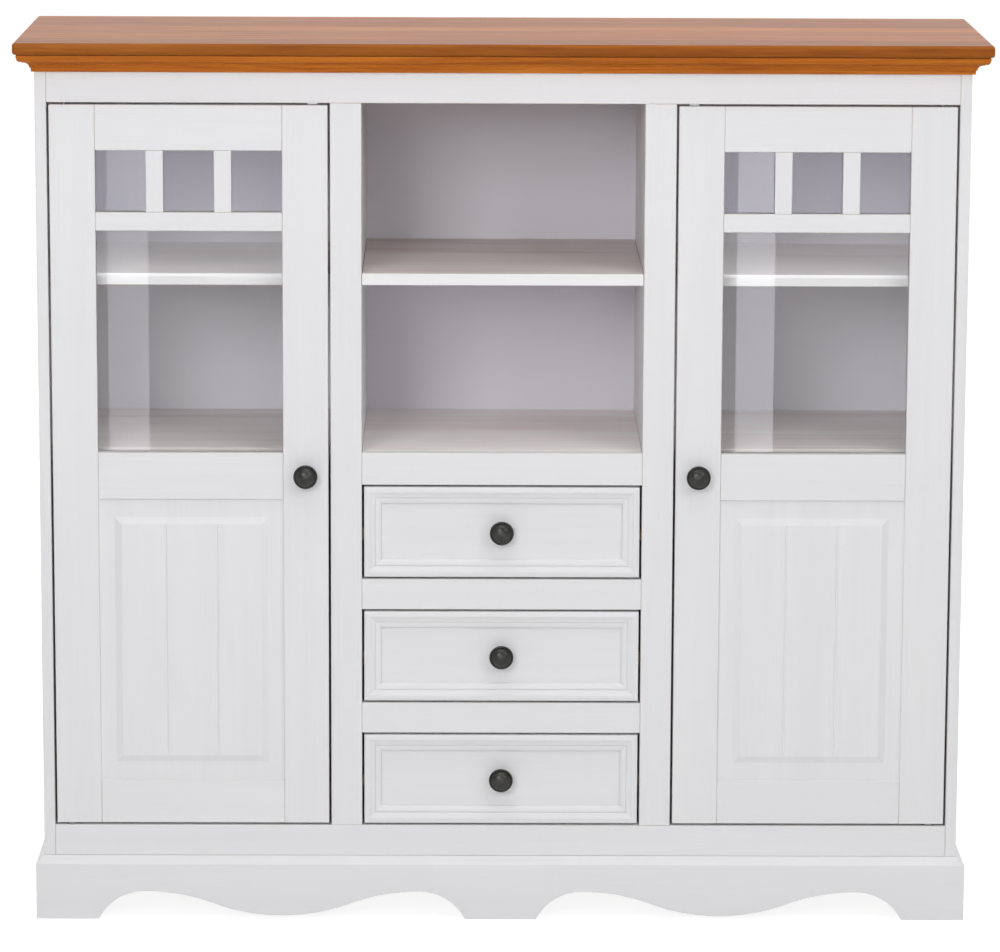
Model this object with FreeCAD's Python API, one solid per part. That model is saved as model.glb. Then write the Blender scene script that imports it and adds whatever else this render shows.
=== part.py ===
"""White-stained pine dresser with a honey-coloured top: two part-glazed doors, an open centre bay
and three drawers on a plinth with a shaped apron. All lengths in millimetres.

Frame: origin on the floor under the middle of the top, +X to the viewer's right, +Y to the wall,
+Z up. The doors and drawers face -Y.
"""
import FreeCAD, Part
import math
import os

from FreeCAD import Vector

os.makedirs("parts", exist_ok=True)

# Top and carcass
top_width = 1300.0
top_depth = 400.0
top_thickness = 16.0
top_edge_radius = 4.0
overall_height = 1200.0
front_overhang = 27.0
side_overhang = 27.0
rear_overhang = 5.0
side_thickness = 15.0
partition_thickness = 15.0
frame_thickness = 18.0
stile_width = 42.0
centre_bay_width = 378.0
top_rail_height = 65.0
bottom_rail_height = 43.0
bottom_board_thickness = 15.0
back_panel_thickness = 4.0
back_panel_inset = 15.0
back_groove_depth = 5.0

# Cornice under the top board
cornice_height = 24.0
cornice_setback = 4.5

# Plinth with its shaped apron
plinth_height = 87.0
plinth_thickness = 20.0
plinth_projection = 11.0
plinth_chamfer_height = 10.0
end_foot_width = 85.0
middle_foot_width = 97.0
arch_height = 39.0
arch_shoulder = 63.0
apron_dip_clearance = 5.0
side_arch_height = 30.0
corner_block_size = 40.0
corner_block_lift = 5.0

# Levels of the shelves and of the door rails, as shares of the overall height
deck_level_share = 0.539
centre_shelf_level_share = 0.742
upper_shelf_level_share = 0.7375
door_middle_rail_level_share = 0.5385
glazing_bar_level_share = 0.81

# Shelves and drawer rails
shelf_thickness = 16.0
deck_thickness = 16.0
centre_shelf_setback = 2.0
cupboard_shelf_setback = 20.0
shelf_end_clearance = 0.5
shelf_back_clearance = 1.0
upper_drawer_rail_height = 44.0
drawer_rail_height = 42.0

# Shelf pins and dowels
shelf_pin_radius = 2.5
shelf_pin_depth = 7.0
shelf_pin_reach = 9.0
shelf_pin_inset = 45.0
dowel_radius = 4.0
dowel_length = 32.0
dowel_panel_depth = 10.0
dowel_clearance = 0.05
dowel_row_inset = 70.0

# Doors
reveal = 3.0
door_stile_width = 61.0
door_top_rail_height = 61.0
door_middle_rail_height = 64.0
door_bottom_rail_height = 60.0
tenon_length = 12.0
tenon_thickness = 6.0
tenon_shoulder_wall = 1.0
glazing_bar_height = 25.0
muntin_width = 23.5
muntin_count = 2
glazing_rebate = 8.0
glass_thickness = 3.0
glass_clearance = 0.5
glazing_bar_thickness = 9.0
panel_recess = 4.0
panel_thickness = 9.0
panel_tongue_thickness = 5.0
panel_tongue_length = 8.0
field_side_margin = 21.0
field_end_margin = 25.0
field_bevel = 9.0
field_rise = 3.5
field_groove_width = 4.0
field_groove_depth = 1.6
field_board_count = 3

# Door pivots and stops
pivot_inset = 20.0
pivot_radius = 3.0
pivot_clearance = 0.05
pivot_depth = 20.0
pivot_end_clearance = 1.0
pivot_collar_radius = 8.0
door_stop_width = 13.0
door_stop_thickness = 2.0
door_stop_inset = 20.0
door_stop_setback = 4.0
door_stop_lip_height = 14.0
door_stop_clearance = 0.3

# Drawers
drawer_moulding_width = 25.0
drawer_moulding_height = 8.0
drawer_side_thickness = 12.0
drawer_top_gap = 24.0
drawer_rear_gap = 21.0
drawer_box_lift = 10.0
drawer_bottom_thickness = 4.0
drawer_bottom_groove = 5.0
drawer_bottom_rise = 8.0
runner_height = 16.0
runner_thickness = 9.5
runner_front_gap = 5.0
runner_clearance = 0.3

# Knobs
knob_radius = 16.3
knob_projection = 25.5
knob_neck_radius = 5.5
knob_base_radius = 8.0
knob_base_height = 2.0
knob_neck_height = 10.0
knob_rim_height = 16.0
knob_rim_radius = 1.6
door_knob_drop = 30.0
knob_screw_radius = 2.0
knob_screw_clearance = 0.25
knob_screw_grip = 10.0
knob_screw_head_radius = 4.0
knob_screw_head_height = 2.5

# Shares of the cornice's projection and height: a single point ends a line, two make an arc
cornice_section_shares = (
    ((0.0, 0.0),),
    ((0.18, 0.0),),
    ((0.18, 0.20),),
    ((0.27, 0.26),),
    ((0.38, 0.47), (0.67, 0.55)),
    ((0.67, 0.60),),
    ((0.80, 0.60),),
    ((0.96, 0.72), (1.0, 0.90)),
    ((0.88, 0.90),),
    ((0.88, 1.0),),
    ((0.0, 1.0),),
)

# Shares of the drawer moulding's width and height, from its outer edge to its inner one
drawer_moulding_shares = (
    (0.0, 0.0),
    (0.0, 1.0),
    (0.32, 1.0),
    (0.60, 0.62),
    (0.67, 0.60),
    (0.68, 0.48),
    (0.73, 0.48),
    (0.97, 0.12),
    (1.0, 0.12),
    (1.0, 0.0),
)
top_rail_dowel_shares = (0.50, 0.84)
bottom_rail_dowel_shares = (0.16, 0.40)
drawer_rail_dowel_shares = (0.25, 0.75)
stile_dowel_shares = (0.28, 0.72)

# Derived planes and levels
half_top = top_width / 2
body_width = top_width - 2 * side_overhang
half_body = body_width / 2
half_inner = half_body - side_thickness
half_bay = centre_bay_width / 2
stile_outer = half_bay + stile_width
front_y = front_overhang - top_depth / 2
frame_back_y = front_y + frame_thickness
rear_y = top_depth / 2 - rear_overhang
back_panel_y = rear_y - back_panel_inset - back_panel_thickness
top_underside = overall_height - top_thickness
top_rail_level = top_underside - top_rail_height
bottom_rail_top = plinth_height + bottom_rail_height
floor_level = bottom_rail_top
deck_level = overall_height * deck_level_share
centre_shelf_level = overall_height * centre_shelf_level_share
upper_shelf_level = overall_height * upper_shelf_level_share
door_middle_rail_level = overall_height * door_middle_rail_level_share
glazing_bar_level = overall_height * glazing_bar_level_share
door_knob_level = door_middle_rail_level - door_knob_drop
drawer_opening_height = (
    deck_level - upper_drawer_rail_height - 2 * drawer_rail_height - bottom_rail_top
) / 3
plinth_half = half_body + plinth_projection
plinth_front_y = front_y - plinth_projection
frame_middle_y = front_y + frame_thickness / 2
cornice_projection = min(front_overhang, side_overhang) - cornice_setback
tenon_shoulder = max(panel_tongue_length, glazing_rebate) + tenon_shoulder_wall
drawer_pitch = drawer_opening_height + drawer_rail_height
drawer_side_height = drawer_opening_height - drawer_box_lift - drawer_top_gap
runner_level = drawer_box_lift + (drawer_side_height - runner_height) / 2
middle_drawer_rail_level = deck_level - upper_drawer_rail_height - drawer_opening_height
lower_drawer_rail_level = middle_drawer_rail_level - drawer_pitch

# Name, top and height of each rail over a drawer
drawer_rails = (
    ("upper_drawer_rail", deck_level, upper_drawer_rail_height),
    ("middle_drawer_rail", middle_drawer_rail_level, drawer_rail_height),
    ("lower_drawer_rail", lower_drawer_rail_level, drawer_rail_height),
)

# Finished pieces by name, and the dowels as they are added
pieces = {}
dowels = []


def board(x_low, x_high, y_low, y_high, z_low, z_high):
    """A rectangular board between two corners."""
    corner = Vector(x_low, y_low, z_low)
    return Part.makeBox(x_high - x_low, y_high - y_low, z_high - z_low, corner)


def rod(radius, start, end):
    """A round rod between two points."""
    run = end - start
    return Part.makeCylinder(radius, run.Length, start, run)


def prism(points, run):
    """A closed outline of points carried along a vector."""
    return Part.Face(Part.makePolygon(points + points[:1])).extrude(run)


def outlined(start, steps):
    """The face inside lines and arcs: a step is an end point, or a middle and an end point."""
    edges = []
    here = start
    for step in steps:
        if isinstance(step, tuple):
            middle, there = step
            edges.append(Part.Arc(here, middle, there).toShape())
        else:
            there = step
            edges.append(Part.LineSegment(here, there).toShape())
        here = there
    return Part.Face(Part.Wire(edges))


def joined(shapes):
    """One solid from touching shapes, without seams."""
    return shapes[0].fuse(shapes[1:]).removeSplitter().Solids[0]


def trimmed(shape, tools):
    """One solid with the tools cut away."""
    return shape.cut(tools).Solids[0]


def group(shapes):
    """Separate solids kept in one piece list."""
    return Part.makeCompound(shapes)


def mirrored(shape):
    """The same piece on the other side of the dresser."""
    return shape.mirror(Vector(0, 0, 0), Vector(1, 0, 0))


def trim(name, tools):
    """Cut tools out of a piece that is already made."""
    pieces[name] = trimmed(pieces[name], tools)


def add_dowel(inner, outer, point, direction):
    """A dowel across the joint of two pieces: its short end is in the outer one."""
    start = point - direction * (dowel_length - dowel_panel_depth)
    end = point + direction * dowel_panel_depth
    hole = rod(dowel_radius, start, end)
    trim(inner, [hole])
    trim(outer, [hole])
    dowels.append(rod(dowel_radius - dowel_clearance, start, end))


def make_top():
    """The honey-coloured board, eased on its front and side edges."""
    top = board(-half_top, half_top, -top_depth / 2, top_depth / 2, top_underside, overall_height)
    rear = top_depth / 2
    eased = [edge for edge in top.Edges if edge.BoundBox.YMin < rear - top_edge_radius]
    pieces["top_board"] = top.makeFillet(top_edge_radius, eased)


def cornice_strip(place, run, plan):
    """One length of the cornice: its section at a place, carried along a run, mitred to a plan."""
    points = [
        tuple(place(u * cornice_projection, v * cornice_height) for u, v in step)
        for step in cornice_section_shares
    ]
    steps = [step[0] if len(step) == 1 else step for step in points[1:] + points[:1]]
    strip = outlined(points[0][0], steps).extrude(run)
    return strip.common(prism(plan, Vector(0, 0, cornice_height))).Solids[0]


def make_cornice():
    """Mitred moulding under the top: front length and two returns."""
    base = top_underside - cornice_height
    outer = half_body + cornice_projection
    outer_y = front_y - cornice_projection

    def front_place(u, v):
        return Vector(-outer, front_y - u, base + v)

    def left_place(u, v):
        return Vector(-half_body - u, outer_y, base + v)

    corner = Vector(-half_body, front_y, base)
    tip = Vector(-outer, outer_y, base)
    far_corner = Vector(half_body, front_y, base)
    far_tip = Vector(outer, outer_y, base)
    front_plan = [corner, far_corner, far_tip, tip]
    left_plan = [corner, tip, Vector(-outer, rear_y, base), Vector(-half_body, rear_y, base)]
    pieces["cornice_front"] = cornice_strip(front_place, Vector(2 * outer, 0, 0), front_plan)
    left = cornice_strip(left_place, Vector(0, rear_y - outer_y, 0), left_plan)
    pieces["cornice_returns"] = group([left, mirrored(left)])


def make_carcass():
    """Sides, partitions, face frame and bottom board."""
    side = board(-half_body, -half_inner, front_y, rear_y, plinth_height, top_underside)
    wall = half_bay + partition_thickness
    partition = board(-wall, -half_bay, frame_back_y, rear_y, floor_level, top_underside)
    stile = board(-stile_outer, -half_bay, front_y, frame_back_y, bottom_rail_top, top_rail_level)
    for name, shape in (("side_panel", side), ("partition", partition), ("stile", stile)):
        pieces["left_" + name] = shape
        pieces["right_" + name] = mirrored(shape)
    pieces["top_rail"] = board(
        -half_inner, half_inner, front_y, frame_back_y, top_rail_level, top_underside
    )
    pieces["bottom_rail"] = board(
        -half_inner, half_inner, front_y, frame_back_y, plinth_height, bottom_rail_top
    )
    for name, level, height in drawer_rails:
        pieces[name] = board(-half_bay, half_bay, front_y, frame_back_y, level - height, level)
    pieces["bottom_board"] = board(
        -half_inner,
        half_inner,
        frame_back_y,
        back_panel_y,
        floor_level - bottom_board_thickness,
        floor_level,
    )


def make_back():
    """A thin panel behind each bay, in grooves of the sides and partitions."""
    wall = half_bay + partition_thickness
    behind = back_panel_y + back_panel_thickness
    low = floor_level - bottom_board_thickness
    left = board(
        -half_inner - back_groove_depth,
        -wall + back_groove_depth,
        back_panel_y,
        behind,
        low,
        top_underside,
    )
    reach = half_bay + back_groove_depth
    centre = board(-reach, reach, back_panel_y, behind, low, top_underside)
    right = mirrored(left)
    trim("left_side_panel", [left])
    trim("right_side_panel", [right])
    trim("left_partition", [left, centre])
    trim("right_partition", [right, centre])
    pieces["back_panels"] = group([left, centre, right])


def make_shelves():
    """The deck over the drawers, the open bay's shelf, two shelves in each cupboard, their pins."""
    pieces["drawer_deck"] = board(
        -half_bay, half_bay, frame_back_y, back_panel_y, deck_level - deck_thickness, deck_level
    )
    wall = half_bay + partition_thickness
    shelf_back = back_panel_y - shelf_back_clearance
    cupboard_front = frame_back_y + cupboard_shelf_setback
    pins = []

    def shelf(x_low, x_high, y_low, level, low_panel, high_panel):
        bottom = level - shelf_thickness
        for y in (y_low + shelf_pin_inset, shelf_back - shelf_pin_inset):
            for face, panel, way in ((x_low, low_panel, 1), (x_high, high_panel, -1)):
                root = Vector(face - way * shelf_pin_depth, y, bottom - shelf_pin_radius)
                tip = Vector(face + way * shelf_pin_reach, y, bottom - shelf_pin_radius)
                trim(panel, [rod(shelf_pin_radius + dowel_clearance, root, tip)])
                pins.append(rod(shelf_pin_radius, root, tip))
        return board(
            x_low + shelf_end_clearance,
            x_high - shelf_end_clearance,
            y_low,
            shelf_back,
            bottom,
            level,
        )

    pieces["centre_shelf"] = shelf(
        -half_bay,
        half_bay,
        front_y + centre_shelf_setback,
        centre_shelf_level,
        "left_partition",
        "right_partition",
    )
    levels = (upper_shelf_level, deck_level)
    pieces["left_shelves"] = group(
        [
            shelf(-half_inner, -wall, cupboard_front, level, "left_side_panel", "left_partition")
            for level in levels
        ]
    )
    pieces["right_shelves"] = group(
        [
            shelf(wall, half_inner, cupboard_front, level, "right_partition", "right_side_panel")
            for level in levels
        ]
    )
    pieces["shelf_pins"] = group(pins)


def apron_bay(foot_x, middle_x):
    """Arc steps of the apron's lower edge from one foot, over two arches, to the next foot."""
    way = math.copysign(1, middle_x - foot_x)
    dip_x = (foot_x + middle_x) / 2
    crest_x = foot_x + way * arch_shoulder
    fall = arch_height - apron_dip_clearance
    run = abs(dip_x - crest_x)
    end_radius = (arch_shoulder**2 + arch_height**2) / (2 * arch_height)
    wave_radius = (run**2 + fall**2) / (4 * fall)
    end_turn = math.asin(arch_shoulder / end_radius) / 2
    wave_turn = math.asin(run / (2 * wave_radius)) / 2
    y = plinth_front_y

    def under(x, z, radius, turn, side):
        return Vector(x + side * abs(radius) * math.sin(turn), y, z - radius * (1 - math.cos(turn)))

    half_x = (crest_x + dip_x) / 2
    far_half_x = 2 * dip_x - half_x
    far_crest_x = 2 * dip_x - crest_x
    half_z = (arch_height + apron_dip_clearance) / 2
    crest = Vector(crest_x, y, arch_height)
    dip = Vector(dip_x, y, apron_dip_clearance)
    far_crest = Vector(far_crest_x, y, arch_height)
    return [
        (under(crest_x, arch_height, end_radius, end_turn, -way), crest),
        (
            under(crest_x, arch_height, wave_radius, wave_turn, way),
            Vector(half_x, y, half_z),
        ),
        (under(dip_x, apron_dip_clearance, -wave_radius, wave_turn, -way), dip),
        (
            under(dip_x, apron_dip_clearance, -wave_radius, wave_turn, way),
            Vector(far_half_x, y, half_z),
        ),
        (under(far_crest_x, arch_height, wave_radius, wave_turn, -way), far_crest),
        (
            under(far_crest_x, arch_height, end_radius, end_turn, way),
            Vector(middle_x, y, 0),
        ),
    ]


def make_plinth():
    """Mitred boards with a chamfered top edge, a shaped apron, a back board and corner blocks."""
    y = plinth_front_y
    inner = plinth_half - plinth_thickness
    inner_y = y + plinth_thickness
    up = Vector(0, 0, plinth_height)
    foot_x = plinth_half - end_foot_width
    middle_x = middle_foot_width / 2
    start = Vector(-plinth_half, y, 0)
    steps = [Vector(-foot_x, y, 0)]
    steps += apron_bay(-foot_x, -middle_x)
    steps += [Vector(middle_x, y, 0)]
    steps += apron_bay(middle_x, foot_x)
    steps += [Vector(plinth_half, y, 0), Vector(plinth_half, y, plinth_height)]
    steps += [Vector(-plinth_half, y, plinth_height), start]
    front = outlined(start, steps).extrude(Vector(0, plinth_thickness, 0))
    edge = plinth_height - plinth_chamfer_height
    front_chamfer = prism(
        [
            Vector(-plinth_half, y, edge),
            Vector(-plinth_half, y + plinth_projection, plinth_height),
            Vector(-plinth_half, y, plinth_height),
        ],
        Vector(2 * plinth_half, 0, 0),
    )
    front_plan = [
        start,
        Vector(plinth_half, y, 0),
        Vector(inner, inner_y, 0),
        Vector(-inner, inner_y, 0),
    ]
    pieces["plinth_front"] = front.common(prism(front_plan, up)).cut(front_chamfer).Solids[0]

    side_front = y + end_foot_width
    side_back = rear_y - end_foot_width
    side_middle = (side_front + side_back) / 2
    side_face = outlined(
        start,
        [
            Vector(-plinth_half, side_front, 0),
            (Vector(-plinth_half, side_middle, side_arch_height), Vector(-plinth_half, side_back, 0)),
            Vector(-plinth_half, rear_y, 0),
            Vector(-plinth_half, rear_y, plinth_height),
            Vector(-plinth_half, y, plinth_height),
            start,
        ],
    )
    side_chamfer = prism(
        [
            Vector(-plinth_half, y, edge),
            Vector(-plinth_half + plinth_projection, y, plinth_height),
            Vector(-plinth_half, y, plinth_height),
        ],
        Vector(0, rear_y - y, 0),
    )
    side_plan = [
        start,
        Vector(-inner, inner_y, 0),
        Vector(-inner, rear_y, 0),
        Vector(-plinth_half, rear_y, 0),
    ]
    side = side_face.extrude(Vector(plinth_thickness, 0, 0))
    left = side.common(prism(side_plan, up)).cut(side_chamfer).Solids[0]
    pieces["plinth_returns"] = group([left, mirrored(left)])

    back_y = rear_y - plinth_thickness
    pieces["plinth_back"] = board(-inner, inner, back_y, rear_y, 0, plinth_height)

    def block(x, y_low):
        return board(
            x, x + corner_block_size, y_low, y_low + corner_block_size, corner_block_lift, plinth_height
        )

    corners = [block(-inner, inner_y), block(-inner, back_y - corner_block_size)]
    corners += [mirrored(corner) for corner in corners]
    pieces["plinth_blocks"] = group(corners + [block(-corner_block_size / 2, inner_y)])


def knob_at(x, y, z, backing):
    """A domed knob standing on a face at y, with the screw that holds it from behind the backing."""
    dome_half = knob_radius - knob_rim_radius
    dome_foot = knob_rim_height + knob_rim_radius
    sagitta = knob_projection - dome_foot
    dome_radius = (dome_half**2 + sagitta**2) / (2 * sagitta)
    dome_middle = knob_projection - dome_radius + math.sqrt(dome_radius**2 - dome_half**2 / 4)
    neck_middle = (knob_base_height + knob_neck_height) / 2
    axis_foot = Vector(0, 0, 0)
    section = outlined(
        axis_foot,
        [
            Vector(knob_base_radius, 0, 0),
            Vector(knob_base_radius, 0, knob_base_height),
            (
                Vector(knob_neck_radius, 0, neck_middle),
                Vector(knob_base_radius, 0, knob_neck_height),
            ),
            Vector(dome_half, 0, knob_rim_height - knob_rim_radius),
            (Vector(knob_radius, 0, knob_rim_height), Vector(dome_half, 0, dome_foot)),
            (Vector(dome_half / 2, 0, dome_middle), Vector(0, 0, knob_projection)),
            axis_foot,
        ],
    )
    turned = section.revolve(axis_foot, Vector(0, 0, 1), 360)
    turned.rotate(axis_foot, Vector(1, 0, 0), 90)
    foot = Vector(x, y, z)
    behind = foot + Vector(0, backing, 0)
    head_end = behind + Vector(0, knob_screw_head_height, 0)
    tip = foot - Vector(0, knob_screw_grip, 0)
    shank = rod(knob_screw_radius, tip, behind)
    head = rod(knob_screw_head_radius, behind, head_end)
    knob = trimmed(turned.translated(foot), [shank])
    hole = rod(knob_screw_radius + knob_screw_clearance, tip, behind)
    return group([knob, joined([shank, head])]), hole


def make_left_door():
    """The left door's frame, glazing bars, glass, beads, raised panel, knob, pivots and stop."""
    outer = -half_inner + reveal
    inner = -stile_outer - reveal
    low = bottom_rail_top + reveal
    high = top_rail_level - reveal
    opening_low = outer + door_stile_width
    opening_high = inner - door_stile_width
    glass_low = door_middle_rail_level
    glass_high = high - door_top_rail_height
    panel_low = low + door_bottom_rail_height
    panel_high = door_middle_rail_level - door_middle_rail_height

    def stile(x_low):
        return board(x_low, x_low + door_stile_width, front_y, frame_back_y, low, high)

    def rail(z_low, z_high):
        tenon_y = frame_middle_y - tenon_thickness / 2
        tenon = board(
            opening_low - tenon_length,
            opening_high + tenon_length,
            tenon_y,
            tenon_y + tenon_thickness,
            z_low + tenon_shoulder,
            z_high - tenon_shoulder,
        )
        body = board(opening_low, opening_high, front_y, frame_back_y, z_low, z_high)
        return joined([body, tenon])

    panel = raised_panel(opening_low, opening_high, panel_low, panel_high)
    rebate = board(
        opening_low - glazing_rebate,
        opening_high + glazing_rebate,
        front_y + glazing_bar_thickness,
        frame_back_y,
        glass_low - glazing_rebate,
        glass_high + glazing_rebate,
    )
    top = trimmed(rail(glass_high, high), [rebate])
    middle = trimmed(rail(panel_high, glass_low), [rebate, panel])
    bottom = trimmed(rail(low, panel_low), [panel])
    rails = [top, middle, bottom]

    knob, knob_hole = knob_at(
        inner - door_stile_width / 2, front_y, door_knob_level, frame_thickness
    )
    pivot_x = outer + pivot_inset
    bores = []
    for face, way in ((high, -1), (low, 1)):
        mouth = Vector(pivot_x, frame_middle_y, face)
        end = mouth + Vector(0, 0, way * (pivot_depth + pivot_end_clearance))
        bores.append(rod(pivot_radius + pivot_clearance, mouth, end))

    door = {
        "outer_stile": trimmed(stile(outer), rails + [panel, rebate] + bores),
        "inner_stile": trimmed(stile(opening_high), rails + [panel, rebate, knob_hole]),
        "rails": group(rails),
        "panel": panel,
        "glazing_bars": glazing_bars(opening_low, opening_high, glass_high),
        "glass": board(
            opening_low - glazing_rebate + glass_clearance,
            opening_high + glazing_rebate - glass_clearance,
            front_y + glazing_bar_thickness,
            front_y + glazing_bar_thickness + glass_thickness,
            glass_low - glazing_rebate + glass_clearance,
            glass_high + glazing_rebate - glass_clearance,
        ),
        "beads": glass_beads(opening_low, opening_high, glass_low, glass_high),
        "knob": knob,
    }
    return door


def glazing_bars(x_low, x_high, z_high):
    """The cross bar in front of the glass, and the upright muntins between it and the top rail."""
    y_back = front_y + glazing_bar_thickness
    bar_low = glazing_bar_level - glazing_bar_height
    bars = [board(x_low, x_high, front_y, y_back, bar_low, glazing_bar_level)]
    pane = (x_high - x_low - muntin_count * muntin_width) / (muntin_count + 1)
    for index in range(muntin_count):
        x = x_low + pane + index * (pane + muntin_width)
        bars.append(board(x, x + muntin_width, front_y, y_back, glazing_bar_level, z_high))
    return group(bars)


def glass_beads(x_low, x_high, z_low, z_high):
    """Four strips that hold the glass in its rebate."""
    y_front = front_y + glazing_bar_thickness + glass_thickness
    outer_low = x_low - glazing_rebate
    outer_high = x_high + glazing_rebate
    bottom = z_low - glazing_rebate
    top = z_high + glazing_rebate
    return group(
        [
            board(outer_low, x_low, y_front, frame_back_y, bottom, top),
            board(x_high, outer_high, y_front, frame_back_y, bottom, top),
            board(x_low, x_high, y_front, frame_back_y, bottom, z_low),
            board(x_low, x_high, y_front, frame_back_y, z_high, top),
        ]
    )


def raised_panel(x_low, x_high, z_low, z_high):
    """A panel with a tongue all round, a bevelled raised field, and grooves that part its boards."""
    face = front_y + panel_recess
    plate = board(x_low, x_high, face, face + panel_thickness, z_low, z_high)
    tongue_y = frame_middle_y - panel_tongue_thickness / 2
    tongue = board(
        x_low - panel_tongue_length,
        x_high + panel_tongue_length,
        tongue_y,
        tongue_y + panel_tongue_thickness,
        z_low - panel_tongue_length,
        z_high + panel_tongue_length,
    )

    def ring(y, inset):
        left = x_low + field_side_margin + inset
        right = x_high - field_side_margin - inset
        bottom = z_low + field_end_margin + inset
        top = z_high - field_end_margin - inset
        corners = [(left, bottom), (right, bottom), (right, top), (left, top), (left, bottom)]
        return Part.makePolygon([Vector(x, y, z) for x, z in corners])

    field_face = face - field_rise
    field = Part.makeLoft([ring(face, 0), ring(field_face, field_bevel)], True, True)
    field_low = x_low + field_side_margin + field_bevel
    field_width = x_high - x_low - 2 * (field_side_margin + field_bevel)
    grooves = []
    for index in range(1, field_board_count):
        x = field_low + field_width * index / field_board_count
        grooves.append(
            prism(
                [
                    Vector(x - field_groove_width / 2, field_face, z_low),
                    Vector(x, field_face + field_groove_depth, z_low),
                    Vector(x + field_groove_width / 2, field_face, z_low),
                ],
                Vector(0, 0, z_high - z_low),
            )
        )
    return trimmed(joined([plate, tongue, field]), grooves)


def make_doors():
    """Both doors, the pins that they turn on, and the stops that they close against."""
    left = make_left_door()
    for name, shape in left.items():
        pieces["left_door_" + name] = shape
        pieces["right_door_" + name] = mirrored(shape)

    pivot_x = -half_inner + reveal + pivot_inset
    upper_face = Vector(pivot_x, frame_middle_y, top_rail_level)
    lower_face = Vector(pivot_x, frame_middle_y, bottom_rail_top)
    depth = Vector(0, 0, pivot_depth)
    gap = Vector(0, 0, reveal)
    upper_pin = rod(pivot_radius, upper_face - gap - depth, upper_face + depth)
    lower_pin = rod(pivot_radius, lower_face - depth, lower_face + gap + depth)
    collar = rod(pivot_collar_radius, lower_face, lower_face + gap)
    shouldered_pin = joined([lower_pin, collar])
    pins = [upper_pin, shouldered_pin]
    opposite = [mirrored(pin) for pin in pins]
    trim("top_rail", [pins[0], opposite[0]])
    trim("bottom_rail", [pins[1], opposite[1]])
    pieces["pivot_pins"] = group(pins + opposite)

    stop_x = -stile_outer - reveal - door_stop_inset
    stop_low = stop_x - door_stop_width / 2
    stop_high = stop_x + door_stop_width / 2
    lip_y = frame_back_y + door_stop_clearance
    lip_back = lip_y + door_stop_thickness
    stop_bottom = top_rail_level - door_stop_thickness
    plate = board(stop_low, stop_high, front_y + door_stop_setback, lip_back, stop_bottom, top_rail_level)
    lip = board(stop_low, stop_high, lip_y, lip_back, top_rail_level - door_stop_lip_height, stop_bottom)
    stop = joined([plate, lip])
    pieces["door_stops"] = group([stop, mirrored(stop)])


def moulding_strip(length):
    """A straight length of the drawer moulding, mitred at both ends: X along, Y inwards, Z proud."""
    width = drawer_moulding_width
    height = drawer_moulding_height
    section = [Vector(0, u * width, v * height) for u, v in drawer_moulding_shares]
    strip = prism(section, Vector(length, 0, 0))
    plan = [
        Vector(0, 0, 0),
        Vector(length, 0, 0),
        Vector(length - width, width, 0),
        Vector(width, width, 0),
    ]
    return strip.common(prism(plan, Vector(0, 0, height))).Solids[0]


def make_drawer(number, opening_low):
    """One drawer: front with its mitred moulding and knob, and a grooved box behind it."""
    name = "drawer_%d_" % number
    half = half_bay - reveal
    low = opening_low + reveal
    high = opening_low + drawer_opening_height - reveal
    field_y = front_y + drawer_moulding_height
    box_back = back_panel_y - drawer_rear_gap
    box_low = opening_low + drawer_box_lift
    box_high = box_low + drawer_side_height
    inside = half - drawer_side_thickness
    bottom_low = box_low + drawer_bottom_rise
    bottom_high = bottom_low + drawer_bottom_thickness

    bottom = board(
        -inside - drawer_bottom_groove,
        inside + drawer_bottom_groove,
        frame_back_y - drawer_bottom_groove,
        box_back,
        bottom_low,
        bottom_high,
    )
    groove = board(
        -half_bay,
        -half_bay + runner_thickness + runner_clearance,
        frame_back_y,
        box_back,
        opening_low + runner_level - runner_clearance,
        opening_low + runner_level + runner_height + runner_clearance,
    )
    side = trimmed(board(-half, -inside, frame_back_y, box_back, box_low, box_high), [groove, bottom])
    back = board(-inside, inside, box_back - drawer_side_thickness, box_back, bottom_high, box_high)
    pieces[name + "box"] = group([side, mirrored(side), back, bottom])

    knob, knob_hole = knob_at(0, field_y, (low + high) / 2, frame_thickness - drawer_moulding_height)
    front = board(-half, half, field_y, frame_back_y, low, high)
    pieces[name + "front"] = trimmed(front, [bottom, knob_hole])
    pieces[name + "knob"] = knob

    corners = [(-half, low), (half, low), (half, high), (-half, high)]
    lengths = [2 * half, high - low]
    strips = []
    for turn, (x, z) in enumerate(corners):
        strip = moulding_strip(lengths[turn % 2])
        strip.rotate(Vector(0, 0, 0), Vector(1, 0, 0), 90)
        strip.rotate(Vector(0, 0, 0), Vector(0, 1, 0), -90 * turn)
        strips.append(strip.translated(Vector(x, field_y, z)))
    pieces[name + "moulding"] = group(strips)

    runner = board(
        -half_bay,
        -half_bay + runner_thickness,
        frame_back_y + runner_front_gap,
        back_panel_y - shelf_back_clearance,
        opening_low + runner_level,
        opening_low + runner_level + runner_height,
    )
    return [runner, mirrored(runner)]


def make_drawers():
    """Three drawers, from the top down, and the runners that carry them."""
    runners = []
    for index, (rail, level, height) in enumerate(drawer_rails):
        runners += make_drawer(index + 1, level - height - drawer_opening_height)
    pieces["drawer_runners"] = group(runners)


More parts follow.
